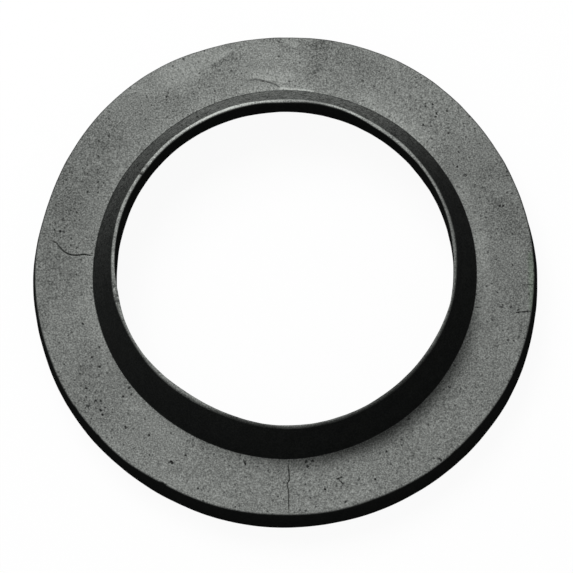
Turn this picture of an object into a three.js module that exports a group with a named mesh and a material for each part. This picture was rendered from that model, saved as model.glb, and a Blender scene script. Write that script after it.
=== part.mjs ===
// Flush valve base seal: one moulded rubber ring with a thick flat flange, a tapered collar that
// centres it in the outlet hole, and a plain bore that the tail of the flush valve passes through.
// Millimetres, +Z up. The origin is the centre of the flange's underside, on the ring's own axis.

import * as THREE from 'three';

// Driving dimensions

// Bore, at its narrowest
const BORE_RADIUS = 30.0;
const BORE_DRAFT = 0.15;
const BORE_LENGTH = 5.6;

// Tapered collar, which stands on the flange
const COLLAR_HEIGHT = 6.7;
const COLLAR_WALL_AT_FOOT = 4.3;
const RIM_LAND = 0.5;

// Flat flange
const FLANGE_WIDTH = 10.7;
const FLANGE_THICKNESS = 7.1;
const FLANGE_DRAFT = 0.35;

// Radii that round the corners of the section
const FLANGE_EDGE_RADIUS = 0.35;
const COLLAR_FOOT_RADIUS = 0.6;
const RIM_EDGE_RADIUS = 0.2;
const THROAT_RADIUS = 0.5;
const MOUTH_EDGE_RADIUS = 0.3;

// Fineness of the faceted surface
const SEGMENTS_AROUND = 120;
const SEGMENTS_PER_CORNER = 3;

// Radii and heights that follow from the driving dimensions

const collarFootRadius = BORE_RADIUS + COLLAR_WALL_AT_FOOT;
const outerRadius = collarFootRadius + FLANGE_WIDTH;
const totalHeight = FLANGE_THICKNESS + COLLAR_HEIGHT;
const rimInnerRadius = BORE_RADIUS + BORE_DRAFT;
const rimOuterRadius = rimInnerRadius + RIM_LAND;

// The hollow in the underside widens at the same slope as the outside of the collar, so that the
// collar and what carries it are a wall of even thickness.
const collarSlope = (collarFootRadius - rimOuterRadius) / COLLAR_HEIGHT;
const throatHeight = totalHeight - BORE_LENGTH;
const mouthRadius = BORE_RADIUS + throatHeight * collarSlope;

// The section as corners, each with its radius and height on the ring and the radius that rounds it.
// It runs anticlockwise, from the inner edge of the underside out and up to the rim, and back down
// through the bore.
function sectionCorners() {
  return [
    { at: new THREE.Vector2(mouthRadius, 0), rounding: MOUTH_EDGE_RADIUS },
    { at: new THREE.Vector2(outerRadius, 0), rounding: FLANGE_EDGE_RADIUS },
    { at: new THREE.Vector2(outerRadius - FLANGE_DRAFT, FLANGE_THICKNESS), rounding: FLANGE_EDGE_RADIUS },
    { at: new THREE.Vector2(collarFootRadius, FLANGE_THICKNESS), rounding: COLLAR_FOOT_RADIUS },
    { at: new THREE.Vector2(rimOuterRadius, totalHeight), rounding: RIM_EDGE_RADIUS },
    { at: new THREE.Vector2(rimInnerRadius, totalHeight), rounding: RIM_EDGE_RADIUS },
    { at: new THREE.Vector2(BORE_RADIUS, throatHeight), rounding: THROAT_RADIUS },
  ];
}

// The points of the arc that rounds one corner, tangent to the straight sides before and after it.
// The arc takes up at most half of either side, whatever its radius.
function roundedCorner(before, corner, after, rounding) {
  const towardsBefore = before.clone().sub(corner);
  const towardsAfter = after.clone().sub(corner);
  const halfSide = Math.min(towardsBefore.length(), towardsAfter.length()) / 2;
  towardsBefore.normalize();
  towardsAfter.normalize();

  const halfAngle = Math.acos(THREE.MathUtils.clamp(towardsBefore.dot(towardsAfter), -1, 1)) / 2;
  const radius = Math.min(rounding, halfSide * Math.tan(halfAngle));
  const towardsCentre = towardsBefore.clone().add(towardsAfter).normalize();
  const centre = corner.clone().addScaledVector(towardsCentre, radius / Math.sin(halfAngle));

  const start = corner.clone().addScaledVector(towardsBefore, radius / Math.tan(halfAngle)).sub(centre);
  const turn = Math.sign(towardsAfter.cross(towardsBefore)) * (Math.PI - 2 * halfAngle);
  const points = [];
  for (let step = 0; step <= SEGMENTS_PER_CORNER; step += 1) {
    const angle = (turn * step) / SEGMENTS_PER_CORNER;
    points.push(start.clone().rotateAround(new THREE.Vector2(), angle).add(centre));
  }
  return points;
}

// The whole outline of the section, with every corner rounded, closed on its first point.
function sectionOutline() {
  const corners = sectionCorners();
  const outline = corners.flatMap((corner, index) => {
    const before = corners.at(index - 1).at;
    const after = corners[(index + 1) % corners.length].at;
    return roundedCorner(before, corner.at, after, corner.rounding);
  });
  outline.push(outline[0].clone());
  return outline;
}

// The section turned once round the ring's axis. A lathe turns about Y, so the ring is stood up on Z.
function makeBaseSeal() {
  const geometry = new THREE.LatheGeometry(sectionOutline(), SEGMENTS_AROUND);
  geometry.rotateX(Math.PI / 2);

  const bloomedRubber = new THREE.MeshStandardMaterial({
    color: 0x70726f,
    roughness: 0.88,
    metalness: 0,
  });
  const seal = new THREE.Mesh(geometry, bloomedRubber);
  seal.name = 'base_seal';
  return seal;
}

const flushValveBaseSeal = new THREE.Group();
flushValveBaseSeal.name = 'flush_valve_base_seal';
flushValveBaseSeal.add(makeBaseSeal());

export default flushValveBaseSeal;
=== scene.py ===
"""Flush valve base seal: one moulded rubber ring, its bloomed finish, and a plain studio round it.

Sizes are in millimetres. Angles are in degrees round the ring, from +X towards +Y. Meshes are written in
metres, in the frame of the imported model.
"""

import logging
import math
from dataclasses import dataclass
from enum import Enum
from functools import cached_property

import bpy
import numpy as np
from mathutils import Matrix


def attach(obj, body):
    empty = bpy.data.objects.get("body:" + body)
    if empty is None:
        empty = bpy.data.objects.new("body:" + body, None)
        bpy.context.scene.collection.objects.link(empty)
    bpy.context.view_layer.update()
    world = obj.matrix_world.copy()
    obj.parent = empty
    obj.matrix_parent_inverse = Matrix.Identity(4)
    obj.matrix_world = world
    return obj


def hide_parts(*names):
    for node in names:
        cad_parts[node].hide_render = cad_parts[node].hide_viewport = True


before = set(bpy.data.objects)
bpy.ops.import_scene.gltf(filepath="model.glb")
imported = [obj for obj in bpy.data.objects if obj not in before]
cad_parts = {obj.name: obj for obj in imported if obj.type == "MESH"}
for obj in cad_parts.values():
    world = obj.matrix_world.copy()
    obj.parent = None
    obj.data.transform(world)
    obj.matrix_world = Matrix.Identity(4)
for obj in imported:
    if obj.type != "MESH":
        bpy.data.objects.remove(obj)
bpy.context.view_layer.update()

LOG = logging.getLogger("base_seal")

MM = 0.001
FULL_TURN = 360.0
WHITE = (1.0, 1.0, 1.0, 1.0)

Colour = tuple[float, float, float]
Course = tuple[tuple[float, float], ...]
Span = tuple[float, float]


# Curves and fields worked out with numpy

def smooth_step(value: np.ndarray, low: float, high: float) -> np.ndarray:
    """Ease from 0 to 1 while a value goes from low to high: 3t^2 - 2t^3."""
    share = np.clip((value - low) / (high - low), 0.0, 1.0)
    return share * share * (3.0 - 2.0 * share)


def window(value: np.ndarray, rise: Span, fall: Span) -> np.ndarray:
    """Give 1 from the end of a rise to the start of a fall, eased over both, and 0 outside them."""
    return smooth_step(value, *rise) * (1.0 - smooth_step(value, *fall))


def nearing(value: np.ndarray, limit: float, short_of: Span) -> np.ndarray:
    """Ease from 0 to 1 as a value nears a limit, between two distances short of it."""
    return smooth_step(value, limit - short_of[0], limit - short_of[1])


def smooth_through(at: np.ndarray, course: Course) -> np.ndarray:
    """Run a smooth curve through given points.

    Between two points the curve is the cubic whose slope at each point is the slope of the parabola
    through that point and its neighbours. Before the first point and after the last it stays level.

    Args:
        at: Where the curve is wanted.
        course: The points, each a place and the value there, in rising order of place.

    Returns:
        The curve's values.
    """
    knots, values = np.array(course).T
    slopes = np.gradient(values, knots)
    left = np.clip(np.searchsorted(knots, at) - 1, 0, len(knots) - 2)
    span = knots[left + 1] - knots[left]
    share = np.clip((at - knots[left]) / span, 0.0, 1.0)
    ease = smooth_step(share, 0.0, 1.0)
    rise_left = share * (1.0 - share) ** 2 * slopes[left] * span
    rise_right = share ** 2 * (share - 1.0) * slopes[left + 1] * span
    return values[left] * (1.0 - ease) + values[left + 1] * ease + rise_left + rise_right


def smooth_round(angles: np.ndarray, course: Course) -> np.ndarray:
    """Run a smooth closed curve round the ring, through given points.

    Args:
        angles: Where the curve is wanted, in degrees.
        course: The points, each an angle between 0 and 360 and the value there, in rising order.

    Returns:
        The curve's values.
    """
    before = tuple((angle - FULL_TURN, value) for angle, value in course)
    after = tuple((angle + FULL_TURN, value) for angle, value in course)
    return smooth_through(np.mod(angles, FULL_TURN), before + course + after)


def turn_between(angles: np.ndarray, middle: float) -> np.ndarray:
    """Give the signed turn in degrees from one angle to others, between -180 and 180."""
    return np.mod(angles - middle + FULL_TURN / 2.0, FULL_TURN) - FULL_TURN / 2.0


def unevenness(points: np.ndarray, wavelength: float, seed: int) -> np.ndarray:
    """Make a smooth random field: the sum of sine waves of one length that run in random directions.

    Args:
        points: Places in millimetres, with the three coordinates last.
        wavelength: The length of the waves, in millimetres.
        seed: Chooses the directions and phases.

    Returns:
        The field at the points, scaled to a root mean square of 1.
    """
    wave_count = 24
    rng = np.random.default_rng(seed)
    directions = rng.normal(size=(3, wave_count))
    directions /= np.linalg.norm(directions, axis=0)
    phases = rng.uniform(0.0, 2.0 * math.pi, wave_count)
    waves = np.sin(points @ directions * (2.0 * math.pi / wavelength) + phases)
    return waves.sum(axis=-1) * math.sqrt(2.0 / wave_count)


def swell(points: np.ndarray, waves: Course, seed: int) -> np.ndarray:
    """Add up uneven fields, each with its wavelength and size, and with seeds that count up."""
    fields = (size * unevenness(points, length, seed + number)
              for number, (length, size) in enumerate(waves))
    return sum(fields)


# Section of the ring

class Side(Enum):
    """The sides of the ring's section, in the order in which its outline runs through them."""

    UNDERSIDE = 0
    OUTER_WALL = 1
    FLANGE_FACE = 2
    COLLAR = 3
    RIM = 4
    BORE = 5
    HOLLOW = 6


@dataclass(frozen=True)
class Corner:
    """A corner of the section, and the straight side that the outline runs into after it."""

    radius: float
    height: float
    rounding: float
    side: Side
    row_spacing: float


@dataclass(frozen=True)
class Outline:
    """The section's outline as rows of points, anticlockwise and closed.

    Attributes:
        radius: Distance of each row from the ring's axis.
        height: Height of each row above the underside.
        normal: Outward direction of each row, as its radial and its upward part.
        shares: How far each row belongs to each side, with one column for each side.
    """

    radius: np.ndarray
    height: np.ndarray
    normal: np.ndarray
    shares: np.ndarray

    def on(self, side: Side) -> np.ndarray:
        """Give how far each row belongs to a side, from 0 to 1."""
        return self.shares[:, side.value]


@dataclass(frozen=True)
class Section:
    """The ring's section, the same all round before wear and moulding faults come in."""

    bore_radius: float = 30.0
    bore_draft: float = 0.15
    bore_length: float = 5.6
    collar_height: float = 6.7
    collar_wall_at_foot: float = 4.3
    rim_land: float = 0.5
    flange_width: float = 10.7
    flange_thickness: float = 7.1
    flange_draft: float = 0.35
    flange_foot_rounding: float = 0.15
    flange_edge_rounding: float = 0.42
    collar_foot_rounding: float = 0.25
    rim_rounding: float = 0.2
    throat_rounding: float = 0.5
    mouth_rounding: float = 0.3
    rows_per_corner: int = 6

    @property
    def collar_foot_radius(self) -> float:
        """Radius where the collar meets the flange."""
        return self.bore_radius + self.collar_wall_at_foot

    @property
    def outer_radius(self) -> float:
        """Radius of the flange at its foot."""
        return self.collar_foot_radius + self.flange_width

    @property
    def total_height(self) -> float:
        """Height of the rim above the underside."""
        return self.flange_thickness + self.collar_height

    @property
    def throat_height(self) -> float:
        """Height at which the hollow underneath narrows to the bore."""
        return self.total_height - self.bore_length

    @property
    def rim_inner_radius(self) -> float:
        """Radius of the rim's inner edge."""
        return self.bore_radius + self.bore_draft

    @property
    def rim_outer_radius(self) -> float:
        """Radius of the rim's outer edge."""
        return self.rim_inner_radius + self.rim_land

    @property
    def mouth_radius(self) -> float:
        """Radius of the hollow at the underside: it widens at the slope of the collar's outside."""
        slope = (self.collar_foot_radius - self.rim_outer_radius) / self.collar_height
        return self.bore_radius + self.throat_height * slope

    def corners(self) -> tuple[Corner, ...]:
        """List the corners anticlockwise, from the inner edge of the underside.

        Returns:
            The corners, each with the side after it and the spacing of that side's rows.
        """
        top_radius = self.outer_radius - self.flange_draft
        foot = self.collar_foot_radius
        thickness = self.flange_thickness
        top = self.total_height
        return (
            Corner(self.mouth_radius, 0.0, self.mouth_rounding, Side.UNDERSIDE, 0.9),
            Corner(self.outer_radius, 0.0, self.flange_foot_rounding, Side.OUTER_WALL, 0.7),
            Corner(top_radius, thickness, self.flange_edge_rounding, Side.FLANGE_FACE, 0.28),
            Corner(foot, thickness, self.collar_foot_rounding, Side.COLLAR, 0.45),
            Corner(self.rim_outer_radius, top, self.rim_rounding, Side.RIM, 0.05),
            Corner(self.rim_inner_radius, top, self.rim_rounding, Side.BORE, 0.5),
            Corner(self.bore_radius, self.throat_height, self.throat_rounding, Side.HOLLOW, 0.7),
        )

    def outline(self) -> Outline:
        """Work out the outline, with every corner rounded by an arc tangent to the sides beside it.

        Point t of an arc about centre c, from u to v through angle A, is
        c + (sin((1 - t) A) u + sin(t A) v) / sin A, and a side is the straight line between two arcs.

        Returns:
            The outline's rows.
        """
        corners = self.corners()
        places = np.array([(corner.radius, corner.height) for corner in corners])
        before = np.roll(places, 1, axis=0) - places
        after = np.roll(places, -1, axis=0) - places
        before_length = np.linalg.norm(before, axis=1)
        after_length = np.linalg.norm(after, axis=1)
        before /= before_length[:, None]
        after /= after_length[:, None]

        half_angle = np.arccos(np.sum(before * after, axis=1)) / 2.0
        longest = np.minimum(before_length, after_length) / 2.0 * np.tan(half_angle)
        rounding = np.minimum([corner.rounding for corner in corners], longest)
        start = places + before * (rounding / np.tan(half_angle))[:, None]
        end = places + after * (rounding / np.tan(half_angle))[:, None]
        bisector = (before + after) / (2.0 * np.cos(half_angle))[:, None]
        centre = places + bisector * (rounding / np.sin(half_angle))[:, None]

        share = np.linspace(0.0, 1.0, self.rows_per_corner)
        arc_angle = (math.pi - 2.0 * half_angle)[:, None]
        from_start = np.sin((1.0 - share) * arc_angle)[:, :, None] * (start - centre)[:, None, :]
        from_end = np.sin(share * arc_angle)[:, :, None] * (end - centre)[:, None, :]
        arcs = centre[:, None, :] + (from_start + from_end) / np.sin(arc_angle)[:, :, None]

        rows = []
        shares = []
        side_count = len(corners)
        for index, corner in enumerate(corners):
            turn_share = np.zeros((self.rows_per_corner, side_count))
            turn_share[:, index - 1] = 1.0 - share
            turn_share[:, index] = share
            run = start[(index + 1) % side_count] - end[index]
            steps = max(2, round(np.linalg.norm(run) / corner.row_spacing))
            along = np.linspace(0.0, 1.0, steps + 1)[1:-1, None]
            straight_share = np.zeros((steps - 1, side_count))
            straight_share[:, index] = 1.0
            rows += [arcs[index], end[index] + along * run]
            shares += [turn_share, straight_share]

        points = np.concatenate(rows)
        run = np.roll(points, -1, axis=0) - np.roll(points, 1, axis=0)
        normal = np.stack([run[:, 1], -run[:, 0]], axis=1)
        normal /= np.linalg.norm(normal, axis=1)[:, None]
        return Outline(points[:, 0], points[:, 1], normal, np.concatenate(shares))


# Faults and wear of the ring

@dataclass(frozen=True)
class DarkLine:
    """How the finish draws a fault of the face.

    Attributes:
        edge: Distances across the line between which it goes dark.
        rise: Shares of its length over which it comes in.
        fall: The same over which it fades out.
        darkness: How dark it is, as a share of the darkest.
    """

    edge: Span
    rise: Span = (-0.02, 0.22)
    fall: Span = (1.15, 0.55)
    darkness: float = 1.0


@dataclass(frozen=True)
class Crack:
    """A split across the flange's face, from beside the collar out towards the edge.

    Attributes:
        name: The name of the attribute that carries the crack to the finish.
        course: Radius and angle of its points, from the collar outwards.
        half_width: Half of the split's width at the face.
        depth: How deep it goes below the face.
        line: How the finish draws it.
        column_offsets: Distances from the crack at which the mesh gets a column of points.
        clear: Distance beside the crack from which the even columns are taken out.
        still_bent: Degrees beside the crack between which the columns stop bending with it.
        opening: Shares of its length over which it opens.
        closing: Shares of its length over which it runs out.
    """

    name: str
    course: Course
    half_width: float
    depth: float
    line: DarkLine
    column_offsets: tuple[float, ...] = (0.0, 0.05, 0.1, 0.16, 0.24, 0.36)
    clear: float = 0.5
    still_bent: Span = (1.2, 8.0)
    opening: Span = (0.0, 0.12)
    closing: Span = (0.9, 1.0)

    @property
    def middle_angle(self) -> float:
        """Angle about which the crack wanders."""
        return sum(angle for _, angle in self.course) / len(self.course)

    @property
    def middle_radius(self) -> float:
        """Radius halfway along the crack."""
        return (self.course[0][0] + self.course[-1][0]) / 2.0

    def wander(self, radius: np.ndarray) -> np.ndarray:
        """Give how far the crack lies from its middle angle at a radius, in degrees."""
        return smooth_through(radius, self.course) - self.middle_angle

    def bend(self, angles: np.ndarray, radius: np.ndarray) -> np.ndarray:
        """Give how far each column and row turns so as to run along the crack, in degrees."""
        bent = 1.0 - smooth_step(np.abs(turn_between(angles, self.middle_angle)), *self.still_bent)
        return bent[:, None] * self.wander(radius)

    def columns(self) -> np.ndarray:
        """Give the angles of the mesh's columns beside the crack, before they bend with it."""
        offsets = np.degrees(np.array(self.column_offsets) / self.middle_radius)
        return self.middle_angle + np.unique(np.concatenate([-offsets, offsets]))

    def place(self, angles: np.ndarray, radius: np.ndarray) -> np.ndarray:
        """Place points against the crack.

        The distance across is r (a - a0), with the angles in radians, times the cosine of the slant at
        which the crack crosses the radius: 1 / sqrt(1 + (r da/dr)^2).

        Args:
            angles: Angles of the columns before they bend.
            radius: Radii of the rows.

        Returns:
            For each column and row, the share of the way along the crack, and the distance across it.
        """
        inner = self.course[0][0]
        outer = self.course[-1][0]
        along = np.broadcast_to((radius - inner) / (outer - inner), (len(angles), len(radius)))
        nudge = 0.05
        slope = (self.wander(radius + nudge) - self.wander(radius - nudge)) / (2.0 * nudge)
        slant = 1.0 / np.sqrt(1.0 + (radius * np.radians(slope)) ** 2)
        turn = np.radians(turn_between(angles, self.middle_angle))
        return np.stack([along, turn[:, None] * (radius * slant)], axis=-1)

    def push(self, along: np.ndarray, across: np.ndarray) -> np.ndarray:
        """Give how far the face moves out: -d exp(-(x / w)^2) at distance x across, nil at the ends."""
        dip = self.depth * np.exp(-((across / self.half_width) ** 2))
        return -dip * window(along, self.opening, self.closing)


@dataclass(frozen=True)
class Fold:
    """A flow mark in the flange's face, where the rubber met itself in the mould.

    Attributes:
        name: The name of the attribute that carries the fold to the finish.
        course: Angle and radius of its points, in rising order of angle.
        step: How far the face stands lower inside the fold than outside.
        reach: How far inside the fold the face has come up again.
        line: How the finish draws it.
        blend: How far to either side of the fold its step is eased.
        opening: Shares of its length over which the step comes in.
        closing: Shares of its length over which it runs out.
    """

    name: str
    course: Course
    step: float
    reach: float
    line: DarkLine
    blend: float = 0.12
    opening: Span = (0.0, 0.08)
    closing: Span = (0.55, 1.0)

    def place(self, angles: np.ndarray, radius: np.ndarray) -> np.ndarray:
        """Place points against the fold.

        Args:
            angles: Angles of the columns.
            radius: Radii of the rows.

        Returns:
            For each column and row, the share of the way along the fold, and the distance outside it.
        """
        first = self.course[0][0]
        last = self.course[-1][0]
        along = np.broadcast_to(((angles - first) / (last - first))[:, None], (len(angles), len(radius)))
        return np.stack([along, radius - smooth_through(angles, self.course)[:, None]], axis=-1)

    def push(self, along: np.ndarray, across: np.ndarray) -> np.ndarray:
        """Give how far the face moves out: down by the step inside the fold, and up over its reach."""
        inside = window(across, (-self.reach, -self.blend), (-self.blend, self.blend))
        return -self.step * inside * window(along, self.opening, self.closing)


@dataclass(frozen=True)
class Notch:
    """A small piece out of an edge that runs round the ring.

    Attributes:
        angle: Where it is round the ring.
        half_width: Its half-width along the edge.
        depth: How far it goes into the edge.
    """

    angle: float
    half_width: float
    depth: float

    def cut(self, angles: np.ndarray, radius: float) -> np.ndarray:
        """Give the notch's depth round the ring: a bell curve of the distance from its middle."""
        distance = np.radians(turn_between(angles, self.angle)) * radius
        return self.depth * np.exp(-((distance / self.half_width) ** 2))


def all_cuts(notches: tuple[Notch, ...], angles: np.ndarray, radius: float) -> np.ndarray:
    """Give how deep several notches cut into an edge, round the ring."""
    return sum(notch.cut(angles, radius) for notch in notches)


@dataclass(frozen=True)
class Tear:
    """A stretch of the rim that is torn ragged.

    Attributes:
        start: Angle at which it starts.
        end: Angle at which it ends.
        strength: How ragged it is, as a share of the worst.
        ease: Degrees over which it comes in and goes out.
    """

    start: float
    end: float
    strength: float
    ease: float = 2.0

    def share(self, angles: np.ndarray) -> np.ndarray:
        """Give how ragged the rim is round the ring."""
        rise = (self.start, self.start + self.ease)
        return self.strength * window(angles, rise, (self.end - self.ease, self.end))


@dataclass(frozen=True)
class Faults:
    """What moulding and use have done to the ring.

    Attributes:
        cracks: The splits in the flange's face.
        fold: The flow mark behind the collar.
        lip_inside: How far the rim's inner edge leans out, round the ring.
        lip_outside: How far the rim's outer edge leans out.
        throat_lean: How far the bore's lower edge leans out.
        collar_lean: How far the collar's foot leans out.
        edge_lean: How far the flange's upper edge leans out.
        foot_lean: How far the flange's lower edge leans out.
        rim_notches: Nicks in the rim's outer edge.
        rim_breaks: Nicks that go through the rim's top.
        edge_notches: Nicks in the flange's upper edge.
        tears: The torn stretches of the rim.
    """

    cracks: tuple[Crack, ...] = (
        Crack(
            "left_crack",
            ((34.24, 174.75), (35.9, 174.46), (37.38, 174.88), (39.18, 174.43), (40.28, 173.28),
             (41.15, 172.11), (42.32, 171.8)),
            half_width=0.11,
            depth=0.28,
            line=DarkLine((0.165, 0.022)),
        ),
        Crack(
            "front_crack",
            ((34.5, 271.18), (35.2, 271.14), (36.7, 271.25), (37.85, 271.42), (38.4, 271.3),
             (38.75, 270.86), (39.25, 270.78), (39.85, 271.02), (41.87, 271.05), (43.2, 271.03),
             (44.6, 271.08)),
            half_width=0.075,
            depth=0.22,
            line=DarkLine((0.1125, 0.015)),
        ),
    )
    fold: Fold = Fold(
        "flow_fold",
        ((91.15, 34.74), (92.53, 35.37), (93.97, 35.78), (95.74, 36.24), (97.14, 36.55), (98.55, 36.71),
         (100.19, 36.65), (101.63, 36.7)),
        step=0.10,
        reach=1.6,
        # The fold's dark line is painted shade in its crease.
        line=DarkLine((0.26, 0.05), (-0.02, 0.04), (1.0, 0.75), 0.7),
    )
    lip_inside: Course = (
        (0, 0.0), (10, 0.06), (30, 0.02), (48, -0.18), (57, -0.27), (66, -0.03), (80, 0.02), (90, -0.37),
        (98, -0.2), (110, -0.14), (125, -0.04), (133, 0.02), (145, 0.0), (160, 0.08), (180, 0.03),
        (192, -0.15), (200, -0.02), (208, 0.03), (216, -0.05), (224, -0.35), (233, -0.69), (243, -0.7),
        (252, -0.57), (262, -0.28), (275, -0.18), (300, -0.18), (315, -0.13), (336, 0.0), (345, 0.14),
        (353, 0.08),
    )
    lip_outside: Course = (
        (0, -0.26), (18, -0.14), (35, -0.18), (48, -0.28), (57, -0.28), (72, -0.1), (84, -0.29),
        (95, -0.34), (103, -0.2), (112, -0.2), (120, -0.26), (128, -0.24), (136, -0.15), (144, -0.14),
        (152, -0.08), (162, 0.09), (170, -0.01), (180, -0.08), (192, 0.06), (200, -0.03), (208, -0.26),
        (222, -0.43), (232, -0.62), (240, -0.74), (248, -0.84), (257, -0.64), (266, -0.38), (285, -0.22),
        (300, -0.22), (315, -0.27), (330, -0.2), (340, -0.14), (352, -0.17),
    )
    throat_lean: Course = (
        (0, 0.16), (10, 0.1), (20, 0.0), (35, -0.1), (50, -0.03), (65, -0.12), (80, -0.12), (100, -0.22),
        (130, -0.18), (150, -0.28), (162, -0.42), (175, -0.27), (190, 0.0), (270, 0.0), (340, 0.02),
        (350, 0.12),
    )
    collar_lean: Course = (
        (0, 0.0), (40, 0.0), (70, -0.06), (95, -0.08), (115, -0.14), (130, -0.26), (150, -0.22),
        (170, -0.24), (185, -0.08), (215, -0.09), (250, -0.12), (262, 0.0), (272, 0.1), (282, 0.0),
        (320, -0.05), (340, 0.0),
    )
    edge_lean: Course = (
        (0, 0.0), (20, -0.08), (40, -0.04), (60, 0.18), (69, 0.09), (79, -0.1), (90, -0.27), (100, -0.28),
        (110, -0.24), (118, 0.08), (125, 0.14), (135, 0.05), (145, -0.16), (155, -0.34), (165, -0.4),
        (175, -0.16), (190, -0.08), (200, -0.04), (210, 0.1), (222, 0.06), (231, 0.13), (239, -0.1),
        (252, 0.03), (262, 0.07), (270, 0.05), (280, 0.18), (290, 0.06), (305, 0.18), (320, 0.06),
        (330, 0.18), (345, 0.07),
    )
    foot_lean: Course = (
        (0, 0.34), (10, 0.4), (19, 0.14), (30, 0.0), (90, 0.0), (165, 0.0), (179, 0.02), (190, -0.13),
        (200, -0.2), (212, -0.15), (222, -0.11), (232, -0.25), (242, -0.17), (252, 0.04), (260, 0.05),
        (270, 0.14), (285, 0.16), (300, 0.28), (320, 0.34), (332, 0.42), (342, 0.42), (352, 0.31),
    )
    rim_notches: tuple[Notch, ...] = (
        Notch(232.5, 0.25, 0.10), Notch(236.7, 0.30, 0.12), Notch(240.5, 0.22, 0.10),
        Notch(342.5, 0.20, 0.12), Notch(336.0, 0.18, 0.10),
    )
    rim_breaks: tuple[Notch, ...] = (Notch(147.1, 0.24, 0.22), Notch(175.5, 0.12, 0.08))
    edge_notches: tuple[Notch, ...] = (
        Notch(214.0, 0.30, 0.14), Notch(222.5, 0.30, 0.12), Notch(241.0, 0.45, 0.25),
        Notch(312.5, 0.60, 0.10),
    )
    tears: tuple[Tear, ...] = (Tear(137.0, 149.5, 0.45), Tear(186.5, 196.0, 1.0))

    @property
    def lines(self) -> tuple[Crack | Fold, ...]:
        """The faults that run along a line of the face."""
        return (*self.cracks, self.fold)

    def torn(self, angles: np.ndarray) -> np.ndarray:
        """Give how ragged the rim is round the ring, with all its torn stretches."""
        return sum(tear.share(angles) for tear in self.tears)


@dataclass(frozen=True)
class Reach:
    """How far wear, chalk and painted light and shade reach from their edge. Where there are two figures,
    they come in between.
    """

    rim_wander: Span = (1.2, 0.1)
    rim_notch: Span = (0.45, 0.1)
    rim_chalk_and_highlight: Span = (0.26, 0.1)
    edge_lean: Span = (5.0, 0.4)
    notch_inwards: Span = (1.1, 0.4)
    notch_down: Span = (1.2, 0.1)
    foot_lean: float = 2.5
    painted_foot_light: float = 1.9
    collar_foot_shade: Span = (0.15, 0.7)


# Mesh of the ring

@dataclass(frozen=True)
class Surface:
    """The ring's surface as a grid, and what the finish needs to know at each of its points.

    Attributes:
        points: Places in millimetres, with one column for each angle and one row for each outline row.
        shares: Named fields between 0 and 1 over the grid.
        lines: Named fields of the share along a line and the distance across it, over the grid.
    """

    points: np.ndarray
    shares: dict[str, np.ndarray]
    lines: dict[str, np.ndarray]

    def mesh(self, name: str) -> bpy.types.Mesh:
        """Close the grid into a ring-shaped mesh.

        The grid wraps round both ways. Face (j, i) joins the points (j, i), (j + 1, i), (j + 1, i + 1)
        and (j, i + 1), and so faces outwards where the rows run anticlockwise.

        Args:
            name: The mesh's name.

        Returns:
            The mesh, with its fields as point attributes.
        """
        columns, rows, _ = self.points.shape
        index = np.arange(columns * rows).reshape(columns, rows)
        next_column = np.roll(index, -1, axis=0)
        next_row = np.roll(index, -1, axis=1)
        across = np.roll(next_column, -1, axis=1)
        faces = np.stack([index, next_column, across, next_row], axis=-1).reshape(-1, 4)

        mesh = bpy.data.meshes.new(name)
        mesh.vertices.add(columns * rows)
        mesh.vertices.foreach_set("co", (self.points * MM).astype(np.float32).ravel())
        mesh.loops.add(faces.size)
        mesh.loops.foreach_set("vertex_index", faces.astype(np.int32).ravel())
        mesh.polygons.add(len(faces))
        mesh.polygons.foreach_set("loop_start", np.arange(0, faces.size, 4, dtype=np.int32))
        mesh.polygons.foreach_set("use_smooth", np.ones(len(faces), dtype=bool))
        mesh.update(calc_edges=True)

        for title, share in self.shares.items():
            attribute = mesh.attributes.new(title, "FLOAT", "POINT")
            attribute.data.foreach_set("value", share.astype(np.float32).ravel())
        for title, line in self.lines.items():
            attribute = mesh.attributes.new(title, "FLOAT_VECTOR", "POINT")
            vectors = np.pad(line, ((0, 0), (0, 0), (0, 1)))
            attribute.data.foreach_set("vector", vectors.astype(np.float32).ravel())
        return mesh


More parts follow.
